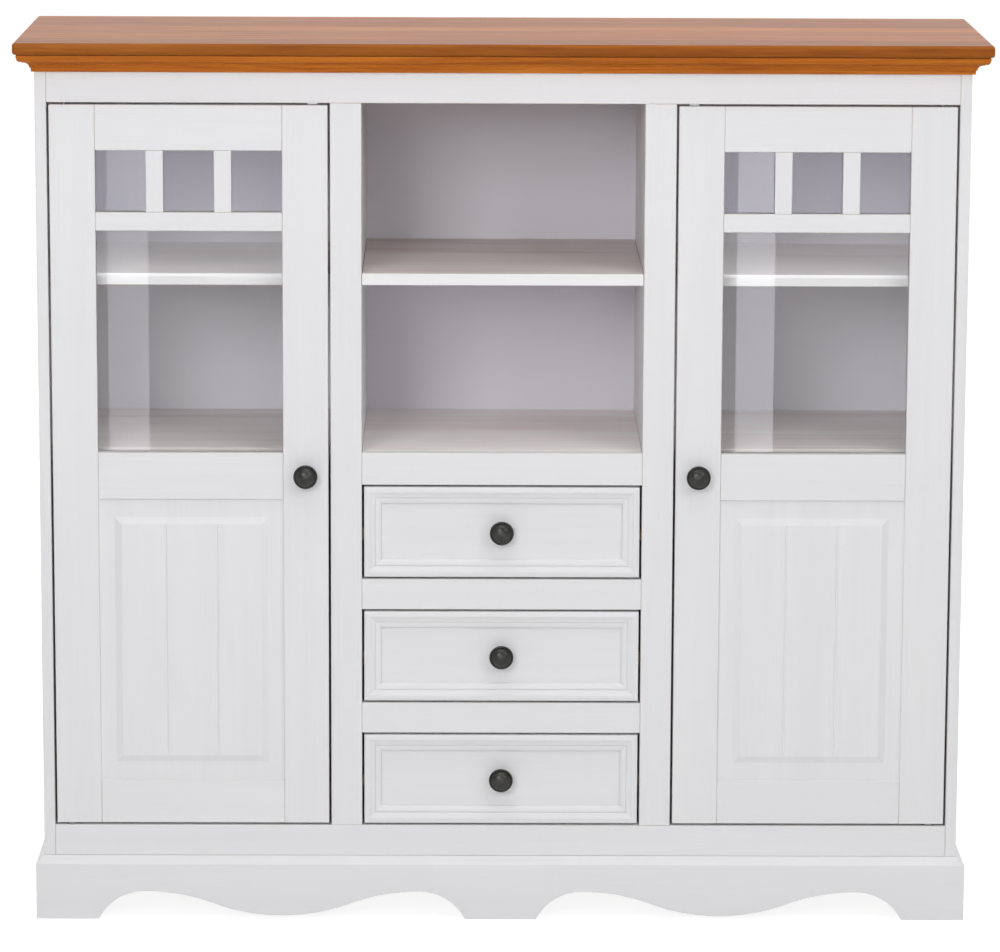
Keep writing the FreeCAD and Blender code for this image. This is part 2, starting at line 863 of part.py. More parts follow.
def add_dowels():
    """Dowels across the fixed joints of the carcass and its face frame."""
    up = Vector(0, 0, 1)
    rows = (frame_back_y + dowel_row_inset, back_panel_y - dowel_row_inset)
    wall_middle = half_bay + partition_thickness / 2
    for side, way in (("left_", -1), ("right_", 1)):
        out = Vector(way, 0, 0)
        for share in top_rail_dowel_shares:
            z = top_rail_level + share * top_rail_height
            add_dowel("top_rail", side + "side_panel", Vector(way * half_inner, frame_middle_y, z), out)
        for share in bottom_rail_dowel_shares:
            z = plinth_height + share * bottom_rail_height
            add_dowel("bottom_rail", side + "side_panel", Vector(way * half_inner, frame_middle_y, z), out)
        for share in stile_dowel_shares:
            x = way * (half_bay + share * stile_width)
            add_dowel(side + "stile", "top_rail", Vector(x, frame_middle_y, top_rail_level), up)
            add_dowel(side + "stile", "bottom_rail", Vector(x, frame_middle_y, bottom_rail_top), -up)
        for rail, level, height in drawer_rails:
            for share in drawer_rail_dowel_shares:
                z = level - share * height
                add_dowel(rail, side + "stile", Vector(way * half_bay, frame_middle_y, z), out)
        for y in rows:
            side_x = way * (half_inner + side_thickness / 2)
            deck_z = deck_level - deck_thickness / 2
            board_z = floor_level - bottom_board_thickness / 2
            add_dowel(side + "side_panel", "top_board", Vector(side_x, y, top_underside), up)
            add_dowel(side + "partition", "top_board", Vector(way * wall_middle, y, top_underside), up)
            add_dowel(side + "partition", "bottom_board", Vector(way * wall_middle, y, floor_level), -up)
            add_dowel("bottom_board", side + "side_panel", Vector(way * half_inner, y, board_z), out)
            add_dowel("drawer_deck", side + "partition", Vector(way * half_bay, y, deck_z), out)
    pieces["dowels"] = group(dowels)


make_top()
make_cornice()
make_carcass()
make_back()
make_shelves()
make_plinth()
make_doors()
make_drawers()
add_dowels()
for piece_name, piece in pieces.items():
    piece.exportStep("parts/" + piece_name + ".step")
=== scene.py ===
# %% [markdown]
# # A white pine dresser with a honey-coloured top
# The real dresser is joinery: planed pine boards under a thin white stain, a stained top with a
# moulded edge, two part-glazed doors either side of an open bay, three drawers, and a plinth with a
# shaped apron. The CAD model already has every board in its place, so this lesson keeps those places
# and adds what the eye looks for: edges sanded round, mouldings with a smooth section, grain that
# runs along each board, glass, and soft studio light. Lengths are in metres unless a cell says
# otherwise.

import bpy
import numpy as np
from mathutils import Matrix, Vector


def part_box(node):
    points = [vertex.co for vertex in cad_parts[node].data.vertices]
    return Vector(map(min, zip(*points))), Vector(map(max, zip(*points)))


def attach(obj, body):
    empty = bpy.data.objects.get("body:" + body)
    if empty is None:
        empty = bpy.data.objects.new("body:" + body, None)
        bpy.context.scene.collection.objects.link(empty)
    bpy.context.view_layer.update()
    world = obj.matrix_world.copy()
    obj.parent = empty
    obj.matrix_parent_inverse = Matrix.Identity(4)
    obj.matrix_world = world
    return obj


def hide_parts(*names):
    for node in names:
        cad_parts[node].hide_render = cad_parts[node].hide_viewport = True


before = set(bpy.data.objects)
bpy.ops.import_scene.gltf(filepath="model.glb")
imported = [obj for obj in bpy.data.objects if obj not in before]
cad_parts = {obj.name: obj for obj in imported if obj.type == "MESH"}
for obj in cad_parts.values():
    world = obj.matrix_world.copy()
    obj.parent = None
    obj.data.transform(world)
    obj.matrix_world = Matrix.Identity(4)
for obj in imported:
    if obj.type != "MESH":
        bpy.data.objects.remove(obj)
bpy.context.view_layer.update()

# %% [markdown]
# ## Boards with sanded edges
# No board in a real cupboard has a knife edge: each is sanded round by about a millimetre, and that
# round is what catches the light. A cube with a Bevel modifier would do, but then the shading normals
# and the grain would have to be repaired afterwards. Here a board is one surface with two parameters:
# an outline, and its travel along the grain, with a quarter turn at each end. Points, normals, wear
# and grain all come out of the same formula. Each board takes its figure from its own place in one
# large log of noise, so no two look alike.

# %% A closed outline carried along an axis
X, Y, Z = 0, 1, 2
QUARTER = np.linspace(0, np.pi / 2, 4)
LOG = 40
board_luck = np.random.default_rng(11)


def on_axes(across, through, length, axis):
    """World points of a section and a length: the length goes on the given axis, and the section's two
    coordinates go on the axes that follow it."""
    world = np.empty(np.broadcast(across, through, length).shape + (3,))
    world[..., axis] = length
    world[..., (axis + 1) % 3] = across
    world[..., (axis + 2) % 3] = through
    return world


def tube_faces(rows, columns):
    """Quads of a grid that closes on itself round the columns, and a lid at its first and last row."""
    index = np.arange(rows * columns).reshape(rows, columns)
    beside = np.roll(index, -1, axis=1)
    quads = np.stack([index[:-1], beside[:-1], beside[1:], index[1:]], -1).reshape(-1, 4)
    return [quads, index[:1, ::-1], index[-1:]]


def carried(outline, low, high, ease, axis):
    """An outline carried along an axis. At each end the angle v goes through a quarter turn: the outline
    draws in along its own normals by ease * (1 - cos v) and goes on by ease * sin v. The normal is cos v
    times the outline's normal plus sin v along the axis. Wear is largest half way round an edge."""
    across, through, normal_across, normal_through, wear = outline.T
    turn = np.concatenate([QUARTER - np.pi / 2, QUARTER])[:, None]
    level = np.repeat([low + ease, high - ease], len(QUARTER))[:, None] + ease * np.sin(turn)
    inward = ease * (1 - np.cos(turn))
    grid = on_axes(across - inward * normal_across, through - inward * normal_through, level, axis)
    normals = on_axes(np.cos(turn) * normal_across, np.cos(turn) * normal_through, np.sin(turn), axis)
    points, normals = grid.reshape(-1, 3), normals.reshape(-1, 3)
    return {
        "points": points,
        "normals": normals,
        "wear": np.maximum(wear, np.abs(np.sin(2 * turn))).ravel(),
        "flat": np.abs(normals[:, Z]),
        "grain": np.roll(points, -axis, axis=1) + board_luck.uniform(0, LOG, 3),
        "faces": tube_faces(*grid.shape[:2]),
    }


print("a sanded edge turns in", len(QUARTER) - 1, "steps")

# %% A planed board
EASE = 0.0011
CORNER_SHARE = 1.2


def board_section(low, high, radius):
    """A rectangle with round corners: a corner's centre plus radius * (cos u, sin u), with a quarter turn
    of u at each corner. A row holds a point, its normal and its wear."""
    u = (QUARTER + np.arange(4)[:, None] * np.pi / 2).ravel()
    (left, bottom), (right, top) = np.array(low) + radius, np.array(high) - radius
    across = np.repeat([right, left, left, right], len(QUARTER)) + radius * np.cos(u)
    through = np.repeat([top, top, bottom, bottom], len(QUARTER)) + radius * np.sin(u)
    return np.column_stack([across, through, np.cos(u), np.sin(u), np.abs(np.sin(2 * u))])


def board(low, high, axis, ease=EASE):
    """A planed board between two corners, its grain along the axis and its edges sanded to about the ease."""
    section = ((axis + 1) % 3, (axis + 2) % 3)
    outline = board_section([low[i] for i in section], [high[i] for i in section], CORNER_SHARE * ease)
    return carried(outline, low[axis], high[axis], ease, axis)


def together(*surfaces):
    """Several surfaces as one, with the face numbers of each moved up past the points before it."""
    first = np.cumsum([0] + [len(s["points"]) for s in surfaces])
    joined = {key: np.concatenate([s[key] for s in surfaces]) for key in surfaces[0] if key != "faces"}
    joined["faces"] = [group + n for n, s in zip(first, surfaces) for group in s["faces"]]
    return joined


print("board edges are sanded to", EASE * 1000, "mm")

# %% [markdown]
# ## From arrays to a piece
# A piece is a mesh object that stands for one or more CAD nodes and rides on their body. The grain and
# wear go into the mesh as attributes, so that one wood finish serves every board whichever way it
# lies. Where the formula gives normals they are used as they are; elsewhere the mesh is shaded smooth
# up to an angle.

# %% Mesh, attributes and body in one call
ATTRIBUTES = (("grain", "FLOAT_VECTOR", "vector"), ("wear", "FLOAT", "value"), ("flat", "FLOAT", "value"))


def piece(name, surface, material, body, slot, *nodes, crease=30):
    """Makes the mesh object, puts it on its body and hides the CAD nodes that it stands for."""
    mesh = bpy.data.meshes.new(name)
    faces = [face for group in surface["faces"] for face in group.tolist()]
    mesh.from_pydata(surface["points"].tolist(), [], faces)
    for key, kind, field in ATTRIBUTES:
        if key in surface:
            mesh.attributes.new(key, kind, "POINT").data.foreach_set(field, surface[key].ravel())
    mesh.shade_smooth()
    if "normals" in surface:
        mesh.normals_split_custom_set_from_vertices(surface["normals"])
    else:
        mesh.set_sharp_from_angle(angle=np.radians(crease))
    mesh.materials.append(material)
    made = bpy.data.objects.new(name, mesh)
    bpy.context.scene.collection.objects.link(made)
    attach(made, body)
    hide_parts(*nodes)
    return made


def soften(made, width, segments=2, angle=20):
    """A small Bevel on the sharp edges of a piece whose section is not a plain board."""
    bevel = made.modifiers.new("sanded edges", "BEVEL")
    bevel.width = width
    bevel.segments = segments
    bevel.limit_method = "ANGLE"
    bevel.angle_limit = np.radians(angle)
    bevel.harden_normals = True
    return made


print("a mesh can hold", ", ".join(key for key, _, _ in ATTRIBUTES))

# %% [markdown]
# ## Finishes
# A wood finish is three noises on the board's own grain coordinates, each stretched far along the
# grain: a broad figure for the growth rings, a finer one for the fibres, and a soft mottle where the
# stain lies thicker or thinner. Image textures would repeat and do not travel with the part.
# Numbers that are the same all over go straight on the shader. The roughness given there is about the
# middle of the range that a noise then varies it in.

# %% Nodes and their links
def finish(name, **values):
    """A material with a Principled shader whose plain values are set by name, with _ for a space."""
    material = bpy.data.materials.new(name)
    material.use_nodes = True
    shader = material.node_tree.nodes["Principled BSDF"]
    for key, value in values.items():
        shader.inputs[key.replace("_", " ")].default_value = value
    return material, material.node_tree, shader


def add(tree, kind, inputs=(), **settings):
    """A node with its settings, and its inputs given as values or as the sockets that feed them."""
    node = tree.nodes.new(kind)
    for key, value in settings.items():
        setattr(node, key, value)
    for key, value in dict(inputs).items():
        if isinstance(value, bpy.types.NodeSocket):
            tree.links.new(value, node.inputs[key])
        else:
            node.inputs[key].default_value = value
    return node


def feed(tree, shader, **sockets):
    """Links sockets to a shader's inputs by name, with _ for a space."""
    for key, socket in sockets.items():
        tree.links.new(socket, shader.inputs[key.replace("_", " ")])


def show(tree, surface):
    """Makes a shader the one that the material shows."""
    tree.links.new(surface.outputs[0], tree.nodes["Material Output"].inputs["Surface"])


print("node helpers:", finish.__name__, add.__name__, feed.__name__, show.__name__)


# %% Where a point lies, and what kind of ray sees it
def place_of(tree):
    """Object coordinates."""
    return add(tree, "ShaderNodeTexCoord").outputs["Object"]


def parts_of(tree, vector):
    """The X, Y and Z of a vector."""
    return add(tree, "ShaderNodeSeparateXYZ", {"Vector": vector}).outputs


def attribute(tree, name):
    """A number that the mesh holds at each point."""
    return add(tree, "ShaderNodeAttribute", attribute_name=name).outputs["Fac"]


def grain_of(tree, along=None):
    """The board's own grain coordinates, or Object coordinates turned so that the grain runs along an
    axis."""
    if along is None:
        return add(tree, "ShaderNodeAttribute", attribute_name="grain").outputs["Vector"]
    turns = {X: (0, 0, 0), Y: (0, 0, -np.pi / 2), Z: (0, np.pi / 2, 0)}
    return add(tree, "ShaderNodeMapping", {"Vector": place_of(tree), "Rotation": turns[along]}).outputs[0]


def maths(tree, operation, *values):
    """One or two values put through a Math node."""
    return add(tree, "ShaderNodeMath", dict(enumerate(values)), operation=operation).outputs[0]


def ray_is(tree, *kinds):
    """One for a ray of any of these kinds, else zero."""
    path = add(tree, "ShaderNodeLightPath").outputs
    answer = path[f"Is {kinds[0]} Ray"]
    for kind in kinds[1:]:
        answer = maths(tree, "MAXIMUM", answer, path[f"Is {kind} Ray"])
    return answer


print("value helpers:", place_of.__name__, grain_of.__name__, ray_is.__name__)


# %% Noises, ranges and colours
def stretched_noise(tree, coordinates, stretch, detail=3.0, roughness=0.55, distortion=0.0):
    """Noise between 0 and 1 on coordinates multiplied by a stretch, in cycles per metre on each axis."""
    scaled = add(tree, "ShaderNodeMapping", {"Vector": coordinates, "Scale": stretch})
    inputs = {
        "Vector": scaled.outputs[0],
        "Scale": 1.0,
        "Detail": detail,
        "Roughness": roughness,
        "Distortion": distortion,
    }
    return add(tree, "ShaderNodeTexNoise", inputs).outputs["Fac"]


def ramp(tree, factor, *stops):
    """A colour ramp: pairs of a place between 0 and 1 and a colour."""
    node = add(tree, "ShaderNodeValToRGB", {"Fac": factor})
    elements = node.color_ramp.elements
    while len(elements) < len(stops):
        elements.new(0.5)
    for element, (place, colour) in zip(elements, stops):
        element.position = place
        element.color = (*colour, 1.0)
    return node.outputs["Color"]


def spread(tree, factor, from_low, from_high, to_low, to_high):
    """A value moved from one range to another, and held at the ends."""
    inputs = {
        "Value": factor,
        "From Min": from_low,
        "From Max": from_high,
        "To Min": to_low,
        "To Max": to_high,
    }
    return add(tree, "ShaderNodeMapRange", inputs).outputs["Result"]


def mixed(tree, factor, a, b, way="MIX"):
    """Two colours blended by a factor. A Mix node has sockets for every kind of data: 0 is the factor, 2 and
    3 are numbers, 4 and 5 vectors, 6 and 7 colours."""
    a, b = (c if isinstance(c, bpy.types.NodeSocket) else (*c, 1.0) for c in (a, b))
    return add(tree, "ShaderNodeMix", {0: factor, 6: a, 7: b}, data_type="RGBA", blend_type=way).outputs[2]


def raised(tree, shader, height, strength, distance):
    """A bump from a height between 0 and 1."""
    bump = add(tree, "ShaderNodeBump", {"Height": height, "Strength": strength, "Distance": distance})
    feed(tree, shader, Normal=bump.outputs["Normal"])


print("pattern helpers:", stretched_noise.__name__, ramp.__name__, spread.__name__, mixed.__name__)

# %% [markdown]
# ### White stain
# The white is a stain, not a paint: the fibres still show as faint brushed lines, and where the edges were
# sanded through it goes a little creamy. The wear attribute says where those edges are. Shelves and cupboard
# floors got one thin coat, so the pine shows through as a warm tint with a clearer figure, but only on their
# broad faces: their front edges are as white as the rest, except on the lower shelves behind the doors, whose
# front edges take the darker coat as painted shade. The deck over the drawers is painted paler than the white
# stain itself, as painted light for the light that the bay holds back.

# %% White stained pine
WHITE = (1.0, 1.0, 1.0)


def white_stain(name, pine=None):
    """White stain on the board's own grain. With three pine colours, from late wood to early wood, it is one
    thin coat: flat faces take those colours."""
    material, tree, shader = finish(name, Roughness=0.48, Specular_IOR_Level=0.42)
    grain = grain_of(tree)
    figure = stretched_noise(tree, grain, (1.3, 26, 26), detail=2.0, distortion=0.7)
    fibres = stretched_noise(tree, grain, (7, 520, 520), detail=3.0, roughness=0.6)
    mottle = stretched_noise(tree, grain, (5, 9, 9), detail=2.0)
    colour = ramp(tree, figure, (0.30, (0.784, 0.781, 0.796)), (0.70, (0.808, 0.806, 0.818)))
    lines = ramp(tree, fibres, (0.28, (0.955, 0.95, 0.945)), (0.55, WHITE))
    colour = mixed(tree, 0.5, colour, lines, "MULTIPLY")
    colour = mixed(tree, spread(tree, mottle, 0.45, 0.75, 0.0, 0.10), colour, (0.80, 0.765, 0.75))
    if pine:
        rings = ramp(tree, figure, *zip((0.30, 0.50, 0.70), pine))
        colour = mixed(tree, 0.6, colour, (0.90, 0.90, 0.90))
        colour = mixed(tree, spread(tree, attribute(tree, "flat"), 0.2, 1.0, 0.0, 0.9), colour, rings)
    else:
        patchy = stretched_noise(tree, grain, (14, 14, 14), detail=2.0)
        patches = spread(tree, patchy, 0.35, 0.65, 0.12, 0.6)
        worn = maths(tree, "MULTIPLY", attribute(tree, "wear"), patches)
        colour = mixed(tree, worn, colour, (0.72, 0.64, 0.57))
    feed(tree, shader, Base_Color=colour, Roughness=spread(tree, fibres, 0.2, 0.8, 0.55, 0.42))
    raised(tree, shader, fibres, 0.14, 0.0002)
    return material


shelf_pine = [(0.66, 0.575, 0.56), (0.76, 0.695, 0.68), (0.79, 0.745, 0.735)]
# The deck's pine colours are paler than the white stain itself: painted light, for the light that the bay
# holds back from the deck.
deck_pine_painted_lighter = [(0.90, 0.80, 0.78), (0.97, 0.905, 0.89), (0.98, 0.935, 0.925)]
white_pine = white_stain("white_stained_pine")
thin_white = white_stain("thinly_stained_pine", shelf_pine)
deck_white_painted_lighter = white_stain("stained_pine_painted_lighter", deck_pine_painted_lighter)
print("finishes:", white_pine.name, thin_white.name, deck_white_painted_lighter.name)

# %% [markdown]
# ### Honey stain
# The top and its moulding are stained a warm honey colour and lacquered. The rings of pine take the
# stain unevenly, so the figure swings from orange to brown, with fine dark fibres over it. The top is
# glued up from narrow staves, each a little lighter or darker than the next. The moulding is given a lighter
# honey than the top: painted light, against the shadow that the top's overhang casts on it.

# %% Honey stained pine
STAVE = 0.062
STAVE_SHIFT = (9.0, 9.0, 9.0)


def honey_stain(name, depth, stave=None):
    """Honey stain on the board's own grain, multiplied by a depth of colour, which is partly the stain's own
    depth and partly painted light: lighter for a part that sits in shade. With a stave's width the board is
    glued up: each stave has its own figure and its own tint."""
    material, tree, shader = finish(name, Roughness=0.34, Specular_IOR_Level=0.13)
    grain = grain_of(tree)
    if stave:
        number = maths(tree, "FLOOR", maths(tree, "DIVIDE", parts_of(tree, grain)["Y"], stave))
        luck = add(tree, "ShaderNodeTexWhiteNoise", {"W": number}, noise_dimensions="1D").outputs
        shift = add(tree, "ShaderNodeVectorMath", {0: luck["Color"], 1: STAVE_SHIFT}, operation="MULTIPLY")
        grain = add(tree, "ShaderNodeVectorMath", {0: grain, 1: shift.outputs[0]}, operation="ADD").outputs[0]
    figure = stretched_noise(tree, grain, (2.2, 48, 48), detail=3.0, distortion=1.1)
    fibres = stretched_noise(tree, grain, (11, 340, 340), detail=4.0, roughness=0.7)
    mottle = stretched_noise(tree, grain, (3.5, 11, 11), detail=2.0)
    colour = ramp(
        tree,
        figure,
        (0.28, (0.270, 0.070, 0.006)),
        (0.46, (0.390, 0.116, 0.010)),
        (0.60, (0.450, 0.145, 0.014)),
        (0.78, (0.520, 0.190, 0.028)),
    )
    lines = ramp(tree, fibres, (0.30, (0.62, 0.52, 0.42)), (0.56, WHITE))
    colour = mixed(tree, 0.8, colour, lines, "MULTIPLY")
    colour = mixed(tree, spread(tree, mottle, 0.40, 0.75, 0.0, 0.35), colour, (0.330, 0.090, 0.008))
    if stave:
        tint = ramp(tree, luck["Value"], (0.0, (0.66, 0.60, 0.50)), (1.0, (1.30, 1.36, 1.50)))
        colour = mixed(tree, 1.0, colour, tint, "MULTIPLY")
    worn = spread(tree, attribute(tree, "wear"), 0.0, 1.0, 0.0, 0.12)
    colour = mixed(tree, worn, colour, (0.560, 0.210, 0.045))
    colour = mixed(tree, 1.0, colour, depth, "MULTIPLY")
    feed(tree, shader, Base_Color=colour, Roughness=spread(tree, fibres, 0.2, 0.8, 0.42, 0.28))
    raised(tree, shader, fibres, 0.25, 0.0003)
    return material


honey_top = honey_stain("honey_stained_staves", (1.02, 0.98, 0.62), STAVE)
# The moulding's depth is lighter than the top's: painted light, against the shadow of the top's overhang on
# the cornice.
lighter_honey_moulding = honey_stain("honey_stain_painted_lighter", (1.36, 1.29, 1.06))
print("finishes:", honey_top.name, lighter_honey_moulding.name)

# %% [markdown]
# ### Bare pine and painted back
# Drawer boxes, runners and blocks are bare planed pine, with a clear figure from yellow to tan. A
# drawer's sides have their grain from front to back and its back board from side to side, so that
# finish changes over at the back board's front face. The back of the dresser is thin board painted a
# cool white.

# %% Bare pine and the painted back
DRAWER_BACK = 0.0125


def bare_pine(name, along, back_from=None):
    """Bare pine with its grain along one axis. Further back than back_from it runs from side to side
    instead, as in the back board of a drawer."""
    material, tree, shader = finish(name, Roughness=0.62)
    grain = grain_of(tree, along)
    if back_from is not None:
        behind = maths(tree, "GREATER_THAN", parts_of(tree, place_of(tree))["Y"], back_from)
        choice = {0: behind, 4: grain, 5: grain_of(tree, X)}
        grain = add(tree, "ShaderNodeMix", choice, data_type="VECTOR").outputs[1]
    figure = stretched_noise(tree, grain, (1.6, 34, 34), detail=3.0, distortion=1.2)
    fibres = stretched_noise(tree, grain, (8, 560, 560), detail=3.0)
    colour = ramp(
        tree,
        figure,
        (0.30, (0.52, 0.32, 0.155)),
        (0.55, (0.67, 0.47, 0.265)),
        (0.75, (0.74, 0.56, 0.345)),
    )
    lines = ramp(tree, fibres, (0.3, (0.82, 0.76, 0.68)), (0.58, WHITE))
    colour = mixed(tree, 0.7, colour, lines, "MULTIPLY")
    feed(tree, shader, Base_Color=colour, Roughness=spread(tree, fibres, 0.2, 0.8, 0.70, 0.54))
    raised(tree, shader, fibres, 0.3, 0.0003)
    return material


raw_pine_long = bare_pine("bare_pine_front_to_back", Y)
raw_pine_box = bare_pine("bare_pine_drawer_box", Y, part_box("drawer_1_box")[1].y - DRAWER_BACK)
raw_pine_cross = bare_pine("bare_pine_side_to_side", X)
raw_pine_upright = bare_pine("bare_pine_upright", Z)

back_board, tree, shader = finish("painted_back_board", Roughness=0.55)
roller = stretched_noise(tree, place_of(tree), (320, 320, 120), detail=2.0)
cloud = stretched_noise(tree, place_of(tree), (3, 3, 2), detail=2.0)
colour = ramp(tree, cloud, (0.35, (0.785, 0.772, 0.832)), (0.65, (0.820, 0.806, 0.862)))
feed(tree, shader, Base_Color=colour, Roughness=spread(tree, roller, 0.3, 0.7, 0.60, 0.48))
raised(tree, shader, roller, 0.12, 0.0002)
bare = (raw_pine_long, raw_pine_box, raw_pine_cross, raw_pine_upright)
print("finishes:", ", ".join(material.name for material in bare), "and", back_board.name)

# %% [markdown]
# ### Glass, metal and plastic
# Glass lets light through to the shelves: for shadow and bounce rays it is simply clear, because a
# pane that bends light would leave the cupboards black. The knobs are cast and lacquered a dark pewter
# with a fine orange-peel skin. The small door stops are white plastic, and the pins are oiled steel.

# %% Glass
pane, tree, shader = finish("clear_pane", Roughness=0.012, IOR=1.5, Transmission_Weight=1.0)
shader.inputs["Base Color"].default_value = (0.985, 0.985, 0.985, 1.0)
smear = stretched_noise(tree, place_of(tree), (6, 6, 3), detail=2.0)
feed(tree, shader, Roughness=spread(tree, smear, 0.3, 0.7, 0.006, 0.03))
passing = ray_is(tree, "Shadow", "Diffuse")
clear = add(tree, "ShaderNodeBsdfTransparent", {"Color": (0.97, 0.97, 0.97, 1.0)})
show(tree, add(tree, "ShaderNodeMixShader", {0: passing, 1: shader.outputs[0], 2: clear.outputs[0]}))
print("finish:", pane.name)

# %% Pewter, plastic and steel
pewter, tree, shader = finish("dark_pewter", Metallic=0.35, Roughness=0.34, Specular_IOR_Level=0.45)
skin = stretched_noise(tree, place_of(tree), (900, 900, 900), detail=2.0)
patina = stretched_noise(tree, place_of(tree), (120, 120, 120), detail=3.0)
colour = ramp(tree, patina, (0.35, (0.020, 0.020, 0.018)), (0.65, (0.036, 0.035, 0.031)))
feed(tree, shader, Base_Color=colour, Roughness=spread(tree, patina, 0.3, 0.7, 0.30, 0.38))
raised(tree, shader, skin, 0.05, 0.0002)

stop_plastic, tree, shader = finish("moulded_white_plastic", Roughness=0.5)
skin = stretched_noise(tree, place_of(tree), (700, 700, 700), detail=2.0)
colour = ramp(tree, skin, (0.3, (0.88, 0.90, 0.92)), (0.7, (0.91, 0.93, 0.95)))
feed(tree, shader, Base_Color=colour, Roughness=spread(tree, skin, 0.3, 0.7, 0.56, 0.44))
raised(tree, shader, skin, 0.1, 0.0002)

oiled_steel, tree, shader = finish("oiled_steel", Metallic=1.0, Roughness=0.3)
spangle = stretched_noise(tree, place_of(tree), (300, 300, 900), detail=3.0)
colour = ramp(tree, spangle, (0.3, (0.16, 0.16, 0.17)), (0.7, (0.24, 0.24, 0.25)))
feed(tree, shader, Base_Color=colour, Roughness=spread(tree, spangle, 0.3, 0.7, 0.38, 0.24))
raised(tree, shader, spangle, 0.1, 0.0001)
print("finishes:", pewter.name, stop_plastic.name, oiled_steel.name)

# %% [markdown]
# ## Top and cornice
# The top board is the one broad honey-coloured surface, with its edges rounded over. Under it runs a
# small cornice of three mitred lengths: a cove, a step and an ovolo. Each length is a profile carried
# along a straight run whose ends lean out by as much as the profile does, which is what a mitre saw
# does.

# %% The top board
TOP_EASE = 0.0038
top_low, top_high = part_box("top_board")
top_surface = board(top_low, top_high, X, TOP_EASE)
piece("top_board_eased", top_surface, honey_top, "carcass", "honey_pine", "top_board")
print("top board:", [round(b - a, 3) for a, b in zip(top_low, top_high)])


# %% A profile carried along a straight run
def turning(profile):
    """Plus one where a closed profile goes round anticlockwise, else minus one: the sign of its area."""
    u, v = profile.T
    return np.sign(np.sum(u * np.roll(v, -1) - np.roll(u, -1) * v))


def moulded_run(profile, start, end, out, proud, lean):
    """A moulding: at each end the profile's point (u, v) sits at the end's corner + u * out + v * proud,
    moved by u * lean along the run, so a lean of -1 or 1 gives a mitre and 0 a square cut. Grain follows
    the run."""
    start, end, out, proud = (np.array(v, float) for v in (start, end, out, proud))
    along = (end - start) / np.linalg.norm(end - start)
    u, v = profile[:, :1], profile[:, 1:]
    section = u * out + v * proud
    points = np.concatenate([start + section + u * lean[0] * along, end + section + u * lean[1] * along])
    grain = np.column_stack([points @ along, np.tile(profile, (2, 1))])
    faces = tube_faces(2, len(profile))
    if np.dot(np.cross(out, proud), along) * turning(profile) < 0:
        faces = [group[:, ::-1] for group in faces]
    return {
        "points": points,
        "wear": np.zeros(len(points)),
        "grain": grain + board_luck.uniform(0, LOG, 3),
        "faces": faces,
    }


print("mouldings are made by", moulded_run.__name__)

# %% The cornice, its section in shares of its reach and its height
swing = np.linspace(0, np.pi / 2, 12)
foot = [(0.0, 0.0), (0.155, 0.0), (0.173, 0.012), (0.18, 0.03), (0.18, 0.19), (0.19, 0.215)]
cove = np.column_stack([0.67 - 0.40 * np.cos(swing), 0.26 + 0.29 * np.sin(swing)])
step = [(0.67, 0.60)]
ovolo = np.column_stack([0.80 + 0.20 * np.sin(swing), 0.955 - 0.355 * np.cos(swing)])
cap = [(0.985, 0.965), (0.90, 0.965), (0.90, 1.0), (0.0, 1.0)]
cornice_shares = np.concatenate([foot, cove, step, ovolo, cap])

front_low, front_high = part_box("cornice_front")
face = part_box("top_rail")[0].y
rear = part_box("cornice_returns")[1].y
reach, base = face - front_low.y, front_low.z
cornice = cornice_shares * (reach, front_high.z - base)
half = front_high.x - reach
corners = [(-half, rear, base), (-half, face, base), (half, face, base), (half, rear, base)]
up = (0, 0, 1)
left_run = moulded_run(cornice, corners[0], corners[1], (-1, 0, 0), up, (0, 1))
front_run = moulded_run(cornice, corners[1], corners[2], (0, -1, 0), up, (-1, 1))
right_run = moulded_run(cornice, corners[2], corners[3], (1, 0, 0), up, (-1, 0))
side_runs = together(left_run, right_run)
piece("cornice_front_run", front_run, lighter_honey_moulding, "carcass", "honey_pine", "cornice_front")
piece("cornice_side_runs", side_runs, lighter_honey_moulding, "carcass", "honey_pine", "cornice_returns")
print("cornice: section of", len(cornice), "points, standing out", round(reach * 1000, 1), "mm")

# %% [markdown]
# ## Carcass
# Sides, partitions, stiles, rails and shelves are plain boards, so each comes straight from the box of
# its CAD node with the grain along its length. Uprights have it upright, rails and shelves from side
# to side. The two shelves behind a door share a node, so their boards are cut from the bottom and the
# top of its box.

# %% Boards that fill their node's box
uprights = (
    "left_side_panel",
    "right_side_panel",
    "left_partition",
    "right_partition",
    "left_stile",
    "right_stile",
)
crosswise = (
    "top_rail",
    "bottom_rail",
    "upper_drawer_rail",
    "middle_drawer_rail",
    "lower_drawer_rail",
    "bottom_board",
    "drawer_deck",
    "centre_shelf",
)
coats = {"bottom_board": thin_white, "centre_shelf": thin_white, "drawer_deck": deck_white_painted_lighter}
for node in uprights + crosswise:
    surface = board(*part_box(node), Z if node in uprights else X)
    piece(node + "_eased", surface, coats.get(node, white_pine), "carcass", "white_pine", node)
print("carcass boards:", len(uprights), "upright and", len(crosswise), "crosswise")

# %% Shelves behind the doors
SHELF = 0.016
SIDES = ("left", "right")
for side in SIDES:
    node = side + "_shelves"
    low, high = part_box(node)
    lower = board(low, (high.x, high.y, low.z + SHELF), X)
    # The lower shelf counts as flat all round, so its front edge takes the thin coat's darker colour as well:
    # painted shade, so that its lit rounded edge shows no pale line.
    lower["flat"][:] = 1.0
    upper = board((low.x, low.y, high.z - SHELF), high, X)
    piece(side + "_shelf_boards", together(lower, upper), thin_white, "carcass", "white_pine", node)
    print(node, "at", round(low.z, 3), "and", round(high.z - SHELF, 3))

# %% [markdown]
# ## Plinth and apron
# The plinth's front board is sawn to a wave: a foot at each end and in the middle, and between them two
# low arches that meet in a dip. Its lower edge is a function of x made of circle arcs, so the board is
# a section carried along x whose lower corners follow that function. The side boards have one arch.

# %% The lower edge as a function of length
def arc_height(distance, crest, radius):
    """Height of a circle arc at a distance from its crest: crest - radius + sqrt(radius^2 - distance^2)."""
    return crest - radius + np.sqrt(np.maximum(radius**2 - distance**2, 0))


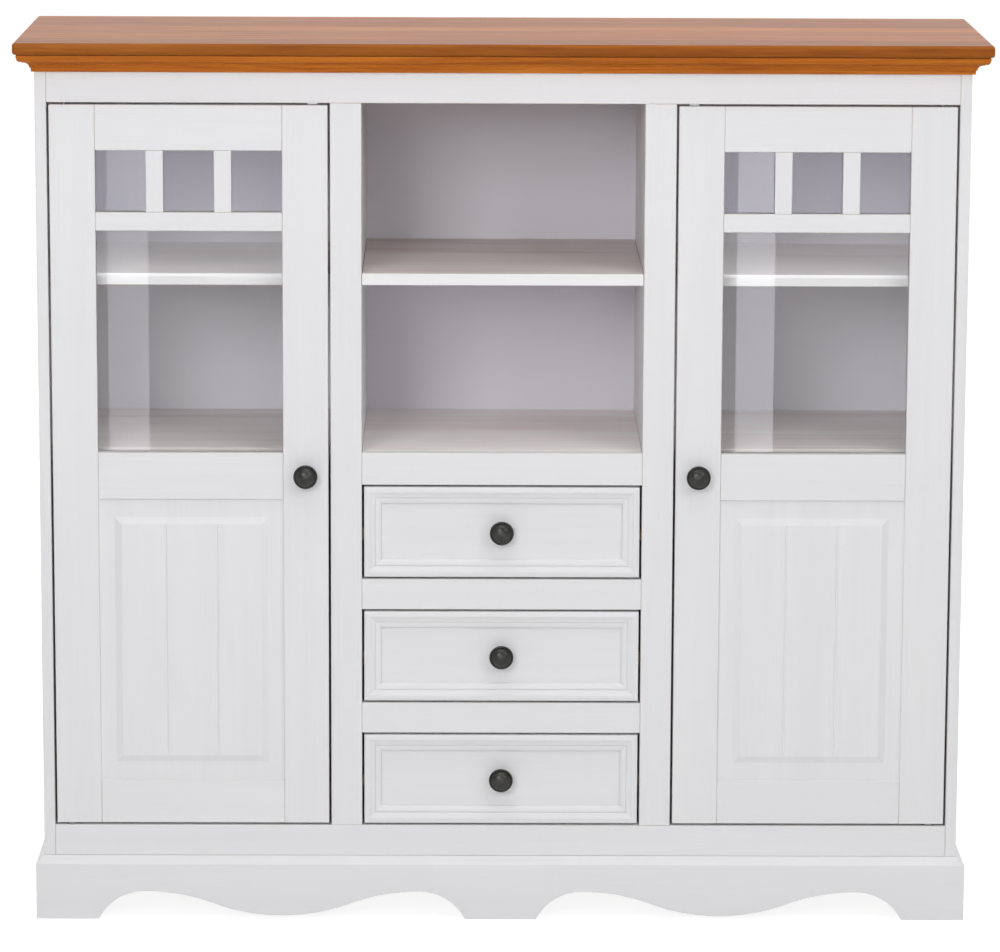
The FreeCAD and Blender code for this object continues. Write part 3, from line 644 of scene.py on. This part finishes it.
def apron_edge(x, half, end_foot, middle_foot, shoulder, arch, dip):
    """Lower edge of the front board: zero on the feet, an arc from each foot up to a crest one shoulder
    away, then two equal arcs that turn from the crest into the dip half way along the bay."""
    x = np.abs(x)
    inner, outer = middle_foot / 2, half - end_foot
    away = np.abs(x - (inner + outer) / 2)
    run = (outer - inner) / 2 - shoulder
    wave = (run**2 + (arch - dip) ** 2) / (4 * (arch - dip))
    from_crest = np.abs(away - run)
    end_arc = arc_height(from_crest, arch, (shoulder**2 + arch**2) / (2 * arch))
    rising = arc_height(from_crest, arch, wave)
    falling = 2 * dip - arc_height(away, dip, wave)
    edge = np.where(away > run, end_arc, np.where(away > run / 2, rising, falling))
    return np.where((x > inner) & (x < outer), np.maximum(edge, 0), 0.0)


def arch_edge(y, low, high, foot, rise):
    """Lower edge of a side board: zero on a foot at each end, and one arc between them."""
    away = np.abs(y - (low + high) / 2)
    chord = (high - low) / 2 - foot
    arc = arc_height(away, rise, (chord**2 + rise**2) / (2 * rise))
    return np.where(away < chord, np.maximum(arc, 0), 0.0)


print("lower edges:", apron_edge.__name__, "and", arch_edge.__name__)

# %% A board with that lower edge
CHAMFER, CHAMFER_DROP = 0.011, 0.010


def plinth_board(length, lower, face, back, top, ends, axis):
    """A section carried along the length: lower back, lower front, front under the chamfer, top of the
    chamfer and top back. Lower corners follow the edge, and the back ones stop at the mitre's inner ends.
    The second quad lies on the front face, so it tells which way round the faces go."""
    mitre = abs(back - face) - CHAMFER
    inner = np.clip(length, *ends)
    crest = np.clip(length, ends[0] - mitre, ends[1] + mitre)
    along = np.stack([inner, length, length, crest, inner], -1)
    depth = np.array([back, face, face, face + np.sign(back - face) * CHAMFER, back]) + np.zeros_like(along)
    head = np.full_like(lower, top)
    height = np.stack([lower, lower, head - CHAMFER_DROP, head, head], -1)
    grain = np.stack([along, depth, height], -1).reshape(-1, 3)
    points = grain if axis == X else grain[:, [1, 0, 2]]
    faces = tube_faces(*along.shape)
    a, b, c = points[faces[0][1, :3]]
    if np.dot(np.cross(b - a, c - a), a - points.mean(axis=0)) < 0:
        faces = [group[:, ::-1] for group in faces]
    return {
        "points": points,
        "wear": np.zeros(len(points)),
        "grain": grain + board_luck.uniform(0, LOG, 3),
        "faces": faces,
    }


print("plinth chamfer:", CHAMFER * 1000, "mm wide")

# %% Front and side boards of the plinth
PLINTH, END_FOOT, MIDDLE_FOOT = 0.020, 0.085, 0.097
SHOULDER, ARCH, DIP, SIDE_RISE = 0.063, 0.039, 0.005, 0.030
FRONT_STEPS, SIDE_STEPS = 635, 190
PLINTH_SANDING = 0.0009
low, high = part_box("plinth_front")
half, top = high.x, high.z
foot_ends = np.array([MIDDLE_FOOT / 2, half - END_FOOT])
x = np.unique(np.concatenate([np.linspace(-half, half, FRONT_STEPS), foot_ends, -foot_ends]))
edge = apron_edge(x, half, END_FOOT, MIDDLE_FOOT, SHOULDER, ARCH, DIP)
front = plinth_board(x, edge, low.y, low.y + PLINTH, top, (-half + PLINTH, half - PLINTH), X)
made = piece("plinth_front_apron", front, white_pine, "carcass", "white_pine", "plinth_front")
soften(made, PLINTH_SANDING)

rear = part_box("plinth_returns")[1].y
y = np.linspace(low.y, rear, SIDE_STEPS)
edge = arch_edge(y, low.y, rear, END_FOOT, SIDE_RISE)
ends = (low.y + PLINTH, rear)
returns = [plinth_board(y, edge, s * half, s * (half - PLINTH), top, ends, Y) for s in (-1, 1)]
made = piece("plinth_side_aprons", together(*returns), white_pine, "carcass", "white_pine", "plinth_returns")
soften(made, PLINTH_SANDING)
print("apron:", len(x), "stations along the front,", len(y), "along each side")

# %% [markdown]
# ## Doors
# A door is a frame of stiles and rails with a raised panel below and a pane of glass above, crossed by
# one bar and two short muntins. The panel is a height field: a flat margin, a bevel up to the field,
# and two V grooves that make it look like three boards. Each corner of the bevel is split along its
# mitre.

# %% The raised panel
MARGIN_X, MARGIN_Z, BEVEL, RISE = 0.021, 0.025, 0.009, 0.0035
GROOVE, GROOVE_DEPTH = 0.004, 0.0016


def panel_faces(rows, columns):
    """Faces of a grid in front, the same grid behind and walls round the rim. Each corner cell of the bevel
    is two triangles that meet along the mitre."""
    index = np.arange(rows * columns).reshape(rows, columns)
    cells = np.stack([index[:-1, :-1], index[1:, :-1], index[1:, 1:], index[:-1, 1:]], -1)
    corner = np.zeros(cells.shape[:2], bool)
    corner[np.ix_([1, -2], [1, -2])] = True
    a, b, c, d = np.moveaxis(cells[corner], -1, 0)
    flip = np.array([False, True, True, False])[:, None]
    first = np.where(flip, np.stack([a, b, d], -1), np.stack([a, b, c], -1))
    second = np.where(flip, np.stack([b, c, d], -1), np.stack([a, c, d], -1))
    rim = np.concatenate([index[:-1, 0], index[-1, :-1], index[:0:-1, -1], index[0, :0:-1]])
    beside = np.roll(rim, -1)
    behind = index.size
    walls = np.stack([beside, rim, rim + behind, beside + behind], -1)
    return [cells[~corner], first, second, (cells + behind).reshape(-1, 4)[:, ::-1], walls]


def raised_panel(low, high, tongue, face, back):
    """Front height over a grid of lines in x and z: rise * min(ramp in x, ramp in z) less the grooves, which
    fade out before the bevels. The four corner cells are split along the mitre. The back is the same grid,
    flat. Corners low and high are (x, z) of the part that shows."""
    (x0, z0), (x1, z1) = low, high
    left, right, bottom, top = x0 + MARGIN_X, x1 - MARGIN_X, z0 + MARGIN_Z, z1 - MARGIN_Z
    cuts = left + (right - left) * np.array([1, 2]) / 3
    groove_lines = (cuts[:, None] + GROOVE / 2 * np.array([-1, 0, 1])).ravel()
    bevel_x = [left, left + BEVEL, right - BEVEL, right]
    bevel_z = [bottom, bottom + BEVEL, top - BEVEL, top]
    fade_z = [bottom + BEVEL, bottom + 2 * BEVEL, top - 2 * BEVEL, top - BEVEL]
    x = np.concatenate([[x0 - tongue], bevel_x[:2], groove_lines, bevel_x[2:], [x1 + tongue]])
    z = np.concatenate([[z0 - tongue, bottom], fade_z, [top, z1 + tongue]])
    ramp_x = np.interp(x, bevel_x, [0, 1, 1, 0])
    ramp_z = np.interp(z, bevel_z, [0, 1, 1, 0])
    grooves = np.outer(np.isin(x, cuts) * GROOVE_DEPTH, np.interp(z, fade_z, [0, 1, 1, 0]))
    height = RISE * np.minimum.outer(ramp_x, ramp_z) - grooves
    grid_x, grid_z = np.meshgrid(x, z, indexing="ij")
    front = np.stack([grid_x, face - height, grid_z], -1).reshape(-1, 3)
    rear = np.stack([grid_x, np.full_like(grid_x, back), grid_z], -1).reshape(-1, 3)
    points = np.concatenate([front, rear])
    own_luck = board_luck.uniform(0, LOG, (3, 3))[np.searchsorted(cuts, points[:, X])]
    return {
        "points": points,
        "wear": np.zeros(len(points)),
        "grain": points[:, [Z, X, Y]] + own_luck,
        "faces": panel_faces(*grid_x.shape),
    }


print("a panel's field stands", RISE * 1000, "mm over its margin")

# %% Frames, panels and glazing bars of both doors
BAR, MUNTIN, REBATE, TONGUE = 0.025, 0.0235, 0.0075, 0.008
PANEL_TONGUE, PANEL_FACE, PANEL_BACK = 0.005, 0.004, 0.013
PANEL_SANDING, PANEL_ANGLE, BEAD_EASE = 0.0008, 12, 0.0007
for side in SIDES:
    door = side + "_door"
    stiles = (door + "_outer_stile", door + "_inner_stile")
    near, far = sorted((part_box(node) for node in stiles), key=lambda box: box[0].x)
    for node in stiles:
        piece(node + "_eased", board(*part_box(node), Z), white_pine, door, "white_pine", node)

    x0, x1, y0, y1 = near[1].x, far[0].x, near[0].y, near[1].y
    panel_low, panel_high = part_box(door + "_panel")
    glass_low, glass_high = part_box(door + "_glass")
    sill, head = glass_low.z + REBATE, glass_high.z - REBATE
    panel_z0, panel_z1 = panel_low.z + TONGUE, panel_high.z - TONGUE
    levels = [(near[0].z, panel_z0), (panel_z1, sill), (head, near[1].z)]
    rails = [board((x0, y0, a), (x1, y1, b), X) for a, b in levels]
    piece(door + "_rails_eased", together(*rails), white_pine, door, "white_pine", door + "_rails")

    field = raised_panel((x0, panel_z0), (x1, panel_z1), PANEL_TONGUE, y0 + PANEL_FACE, y0 + PANEL_BACK)
    made = piece(door + "_raised_panel", field, white_pine, door, "white_pine", door + "_panel")
    soften(made, PANEL_SANDING, angle=PANEL_ANGLE)

    bar_low, bar_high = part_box(door + "_glazing_bars")
    pane_width = (x1 - x0 - 2 * MUNTIN) / 3
    bar_top = bar_low.z + BAR
    bars = [board(bar_low, (x1, bar_high.y, bar_top), X)]
    for number in (1, 2):
        start = x0 + number * pane_width + (number - 1) * MUNTIN
        bars.append(board((start, bar_low.y, bar_top), (start + MUNTIN, bar_high.y, head), Z))
    piece(door + "_bars_eased", together(*bars), white_pine, door, "white_pine", door + "_glazing_bars")

    bead_low, bead_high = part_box(door + "_beads")
    strips = [
        board(bead_low, (x0, bead_high.y, bead_high.z), Z, BEAD_EASE),
        board((x1, bead_low.y, bead_low.z), bead_high, Z, BEAD_EASE),
        board((x0, bead_low.y, bead_low.z), (x1, bead_high.y, sill), X, BEAD_EASE),
        board((x0, bead_low.y, head), (x1, bead_high.y, bead_high.z), X, BEAD_EASE),
    ]
    piece(door + "_beads_eased", together(*strips), white_pine, door, "white_pine", door + "_beads")
    print(door, "opening", round(x1 - x0, 3), "wide, glass from", round(sill, 3), "to", round(head, 3))

# %% [markdown]
# ## Drawers
# Each drawer front is a thin flat board framed by four strips of moulding, mitred at the corners: a
# flat band outside, a shallow hollow, a fine quirk and a bead that turns steeply down to the field. It
# is the same run as the cornice, four times round, with the profile measured inwards.

# %% Drawer fronts and their mouldings, the section in shares of its width and its depth
DRAWERS = ("drawer_1", "drawer_2", "drawer_3")
MOULDING = 0.025
progress = np.linspace(0, 1, 12)[:, None]
swing = progress * np.pi / 2
band = [(0.0, 0.0), (0.0, 0.88), (0.012, 0.96), (0.04, 1.0), (0.29, 1.0), (0.31, 0.98)]
hollow = np.hstack([0.315 + 0.255 * progress, 0.96 - 0.26 * np.sin(swing)])
quirk = [(0.575, 0.69), (0.582, 0.55), (0.602, 0.54), (0.61, 0.61)]
bead = np.hstack([0.62 + 0.32 * np.sin(swing), 0.26 + 0.42 * np.cos(swing)])
inner_edge = [(0.945, 0.0)]
moulding_shares = np.concatenate([band, hollow, quirk, bead, inner_edge])

inward = [(0, 0, 1), (-1, 0, 0), (0, 0, -1), (1, 0, 0)]
forward = (0, -1, 0)
for drawer in DRAWERS:
    node = drawer + "_front"
    piece(node + "_eased", board(*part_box(node), X), white_pine, drawer, "white_pine", node)

    node = drawer + "_moulding"
    low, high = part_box(node)
    profile = moulding_shares * (MOULDING, high.y - low.y)
    around = [(low.x, low.z), (high.x, low.z), (high.x, high.z), (low.x, high.z)]
    ring = [(x, high.y, z) for x, z in around]
    strips = [
        moulded_run(profile, start, end, out, forward, (1, -1))
        for start, end, out in zip(ring, ring[1:] + ring[:1], inward)
    ]
    piece(drawer + "_mitred_moulding", together(*strips), white_pine, drawer, "white_pine", node)
print("drawer moulding: section of", len(moulding_shares), "points")

# %% [markdown]
# ## Knobs
# The five knobs are castings turned round an axis: a small foot, a waisted neck, a rim and a shallow
# dome with a fine groove inside the rim. A profile turned about the axis gives exactly that, with far
# fewer points than a sculpted mesh, and its pole is closed by a tiny lid. The fixing screw behind is
# turned the same way.

# %% Turned pieces
KNOB_STEPS, SCREW_STEPS = 64, 24


def turned(profile, foot, count):
    """A profile of (radius, height) turned round -Y from its foot: foot + (r cos a, -h, r sin a)."""
    angle = np.linspace(0, 2 * np.pi, count, endpoint=False)
    r, h = profile[:, :1], profile[:, 1:]
    points = np.stack([r * np.cos(angle), -h + 0 * angle, r * np.sin(angle)], -1) + np.array(foot)
    return {"points": points.reshape(-1, 3), "faces": tube_faces(*points.shape[:2])}


print("a knob is turned in", KNOB_STEPS, "steps and its screw in", SCREW_STEPS)

# %% Knobs and their screws, with sections in millimetres
POLE = 0.02
HEAD, HEAD_HEIGHT, SHANK, SHANK_END = 4.0, 2.5, 2.0, 1.0
HEAD_EASE, HEAD_EASE_HEIGHT = 0.6, 0.5
progress = np.linspace(0, 1, 14)[:, None]
swing = progress * np.pi / 2
rim_turn = np.linspace(-np.pi / 2, np.pi / 2, 12)[:, None]
foot = [(POLE, 0), (7.8, 0), (8.0, 0.2), (8.0, 1.8)]
neck = np.hstack([5.5 + 2.5 * (2 * progress - 1) ** 2, 2.0 + 8.0 * progress])
bell = np.hstack([8.0 + 6.9 * progress, 10.0 + 4.4 * progress**2])
rim = np.hstack([14.7 + 1.6 * np.cos(rim_turn), 16.0 + 1.6 * np.sin(rim_turn)])
groove = [(14.35, 17.4), (14.1, 16.7), (13.75, 16.7), (13.5, 17.3)]
dome = np.hstack([13.3 * np.cos(swing) + POLE, 17.75 + 7.75 * np.sin(swing)])
knob_profile = np.concatenate([foot, neck, bell, rim, groove, dome]) / 1000


def screw_profile(rear):
    """A round head behind the rear face, and a shank that ends just inside the knob."""
    end = rear - HEAD_HEIGHT
    head = [(POLE, end), (HEAD - HEAD_EASE, end), (HEAD, end + HEAD_EASE_HEIGHT), (HEAD, rear)]
    shank = [(SHANK, rear), (SHANK, SHANK_END), (POLE, SHANK_END)]
    return np.array(head + shank) / 1000


knob_seats = {side + "_door": side + "_door_inner_stile" for side in SIDES}
knob_seats.update({drawer: drawer + "_front" for drawer in DRAWERS})
for owner, seat in knob_seats.items():
    low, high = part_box(owner + "_knob")
    seat_low, seat_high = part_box(seat)
    centre = ((low.x + high.x) / 2, seat_low.y, (low.z + high.z) / 2)
    screw = screw_profile((seat_low.y - seat_high.y) * 1000)
    shape = together(turned(knob_profile, centre, KNOB_STEPS), turned(screw, centre, SCREW_STEPS))
    piece(owner + "_turned_knob", shape, pewter, owner, "pewter", owner + "_knob", crease=40)
print("knobs:", len(knob_seats), "with a section of", len(knob_profile), "points")

# %% [markdown]
# ## Nodes that keep their CAD shape
# What is left is flat sheet, hidden fixings and bare drawer boxes, whose CAD shape is already right.
# They stay as they are and only take a finish.

# %% Finishes for the carried-over nodes
kept = {
    "back_panels": back_board,
    "door_stops": stop_plastic,
    "pivot_pins": oiled_steel,
    "shelf_pins": oiled_steel,
    "dowels": raw_pine_cross,
    "drawer_runners": raw_pine_long,
    "plinth_back": raw_pine_cross,
    "plinth_blocks": raw_pine_upright,
    "left_door_glass": pane,
    "right_door_glass": pane,
}
kept.update({drawer + "_box": raw_pine_box for drawer in DRAWERS})
for node, material in kept.items():
    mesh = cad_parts[node].data
    mesh.materials.clear()
    mesh.materials.append(material)
print("kept as CAD:", ", ".join(sorted(kept)))

# %% [markdown]
# ## Floor and light
# The picture is a plain studio shot on white. The floor is a pale sheet: for the camera most of its
# white is its own glow, a little stronger further away, so it reads as background, and the rest is
# lit, so the soft shadow under the dresser stays. Soft boxes in front and overhead light the wood at a
# plain level, so a colour comes out about as it is written. One behind and one on each side light the
# faces that the camera does not see, and are hidden from mirrored rays, so they leave no bright spots.

# %% A pale floor that keeps the shadow
FLOOR = 30


def sheet(name, corners, material):
    """A flat four-cornered sheet that belongs to the stage."""
    mesh = bpy.data.meshes.new(name)
    mesh.from_pydata(corners, [], [(0, 1, 2, 3)])
    mesh.materials.append(material)
    made = bpy.data.objects.new(name, mesh)
    bpy.context.scene.collection.objects.link(made)
    return made


studio_white, tree, shader = finish("studio_white", Roughness=0.9, Specular_IOR_Level=0.0)
shader.inputs["Base Color"].default_value = (0.80, 0.80, 0.80, 1.0)
seen = ray_is(tree, "Camera", "Transmission", "Glossy")
away = add(tree, "ShaderNodeVectorMath", {0: place_of(tree)}, operation="LENGTH").outputs["Value"]
white = spread(tree, away, 1.5, 6.0, 0.88, 1.0)
glow = add(tree, "ShaderNodeEmission", {"Color": (*WHITE, 1.0), "Strength": white})
lit = add(tree, "ShaderNodeBsdfDiffuse", {"Color": (0.28, 0.28, 0.28, 1.0)})
pale = add(tree, "ShaderNodeAddShader", {0: glow.outputs[0], 1: lit.outputs[0]})
show(tree, add(tree, "ShaderNodeMixShader", {0: seen, 1: shader.outputs[0], 2: pale.outputs[0]}))
floor_corners = [(-FLOOR, -FLOOR, 0), (FLOOR, -FLOOR, 0), (FLOOR, FLOOR, 0), (-FLOOR, FLOOR, 0)]
sheet("studio_floor", floor_corners, studio_white)
print("floor:", 2 * FLOOR, "m wide")

# %% A white backdrop with little light of its own
AMBIENT, FRONT_ROOM, BACKDROP = 0.06, 0.45, 1.04
world = bpy.data.worlds.new("studio")
bpy.context.scene.world = world
world.use_nodes = True
tree = world.node_tree
way = parts_of(tree, add(tree, "ShaderNodeTexCoord").outputs["Generated"])
room = spread(tree, way["Y"], -0.3, 0.3, FRONT_ROOM, BACKDROP)
level = add(tree, "ShaderNodeMix", {0: ray_is(tree, "Glossy"), 2: AMBIENT, 3: room}, data_type="FLOAT")
seen = ray_is(tree, "Camera", "Transmission")
level = add(tree, "ShaderNodeMix", {0: seen, 2: level.outputs[0], 3: 1.0}, data_type="FLOAT")
sky = tree.nodes["Background"]
sky.inputs["Color"].default_value = (0.98, 0.985, 1.0, 1.0)
feed(tree, sky, Strength=level.outputs[0])
print("floor and backdrop are white for the camera, ambient light is", AMBIENT)


# %% Soft boxes
def soft_box(name, place, aim, size, watts):
    """A rectangular area lamp at a place, turned to a point."""
    lamp = bpy.data.lights.new(name, "AREA")
    lamp.shape = "RECTANGLE"
    lamp.size, lamp.size_y = size
    lamp.energy = watts
    made = bpy.data.objects.new(name, lamp)
    back = np.array(place, float) - np.array(aim, float)
    back /= np.linalg.norm(back)
    side = np.cross((0, 0, 1), back)
    side /= np.linalg.norm(side)
    turn = Matrix(np.stack([side, np.cross(back, side), back], -1).tolist()).to_4x4()
    made.matrix_world = Matrix.Translation(place) @ turn
    bpy.context.scene.collection.objects.link(made)
    made.visible_camera = False
    return made


LAMPS = {
    "left_box": ((-1.6, -4.6, 2.4), (0, 0, 0.7), (1.6, 1.6), 72),
    "right_box": ((2.7, -3.5, 2.9), (0, 0, 0.7), (2.0, 2.0), 45),
    "low_box": ((0, -5.6, 1.6), (0, 0, 0.7), (3.0, 1.6), 22),
    "steep_box": ((0, -1.9, 3.2), (0, 0, 0.4), (3.0, 1.0), 19),
    "overhead_box": ((0, -0.5, 3.6), (0, 0, 0.6), (3.2, 1.4), 34),
    "rear_box": ((0, 4.6, 2.4), (0, 0, 0.6), (3.0, 2.0), 105),
    "left_side_box": ((-4.6, 0.8, 1.5), (0, 0, 0.6), (2.4, 1.4), 60),
    "right_side_box": ((4.6, 0.8, 1.5), (0, 0, 0.6), (2.4, 1.4), 60),
}
for name, (place, aim, size, watts) in LAMPS.items():
    soft_box(name, place, aim, size, watts).visible_glossy = place[Y] < 0
print("soft boxes:", len(LAMPS))

# %% [markdown]
# Glass is seen by what it mirrors. Two tall strips and two wide ones stand in front of the doors, and
# only mirrored rays meet them. Each door then shows one pale upright band, its small upper panes have a
# lavender sheen, and the shelf behind the glass is a little lighter.

# %% Strips that only mirrored rays meet
COOL_WHITE, LAVENDER = (0.955, 0.945, 1.0), (0.80, 0.77, 1.0)


def mirror_strip(name, away, x, z, low, high, tint):
    """An upright card some way in front of the doors. It adds a glow to what is behind it, from low at its
    foot to high at its head."""
    material = bpy.data.materials.new(name)
    material.use_nodes = True
    tree = material.node_tree
    strength = spread(tree, parts_of(tree, place_of(tree))["Z"], *z, low, high)
    glow = add(tree, "ShaderNodeEmission", {"Color": (*tint, 1.0), "Strength": strength})
    clear = add(tree, "ShaderNodeBsdfTransparent")
    show(tree, add(tree, "ShaderNodeAddShader", {0: glow.outputs[0], 1: clear.outputs[0]}))
    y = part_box("left_door_glass")[0].y - away
    card = sheet(name, [(x[0], y, z[0]), (x[1], y, z[0]), (x[1], y, z[1]), (x[0], y, z[1])], material)
    card.visible_camera = card.visible_diffuse = card.visible_transmission = card.visible_shadow = False


STRIPS = {
    "left_mirror_strip": (3.0, (-0.7500, -0.6704), (0.0, 0.90), 3.9, 2.8, COOL_WHITE),
    "right_mirror_strip": (3.0, (0.4836, 0.5583), (0.0, 0.90), 5.0, 3.9, COOL_WHITE),
    "upper_mirror_strip": (3.1, (-1.3, 1.3), (0.55, 0.80), 4.8, 2.8, LAVENDER),
    "middle_mirror_strip": (3.2, (-1.3, 1.3), (0.42, 0.52), 6.0, 2.6, COOL_WHITE),
}
for name, settings in STRIPS.items():
    mirror_strip(name, *settings)
print("mirror strips:", len(STRIPS))

# %% [markdown]
# ## Camera
# The dresser was seen from above its top and square on, with a long lens, so its sides stay almost
# upright. The numbers come from fitting a pinhole camera to corners of the dresser.

# %% A long lens at eye height
SENSOR = 36.0
eye = (-0.0525, -6.6361, 1.8258)
pitch, yaw, roll, focal = 0.1851, -0.0077, 0.0040, 4.8777
ahead = np.array([-np.sin(yaw) * np.cos(pitch), np.cos(yaw) * np.cos(pitch), -np.sin(pitch)])
right = np.array([np.cos(yaw), np.sin(yaw), 0.0])
above = np.cross(right, ahead)
right, above = np.cos(roll) * right + np.sin(roll) * above, np.cos(roll) * above - np.sin(roll) * right
turn = Matrix(np.stack([right, above, -ahead], -1).tolist()).to_4x4()
lens = bpy.data.cameras.new("camera")
lens.sensor_width = SENSOR
lens.lens = focal * SENSOR
camera = bpy.data.objects.new("camera", lens)
camera.matrix_world = Matrix.Translation(eye) @ turn
bpy.context.scene.collection.objects.link(camera)
bpy.context.scene.camera = camera
bpy.context.scene.view_settings.view_transform = "Standard"
print("lens", round(lens.lens, 1), "mm at", eye)
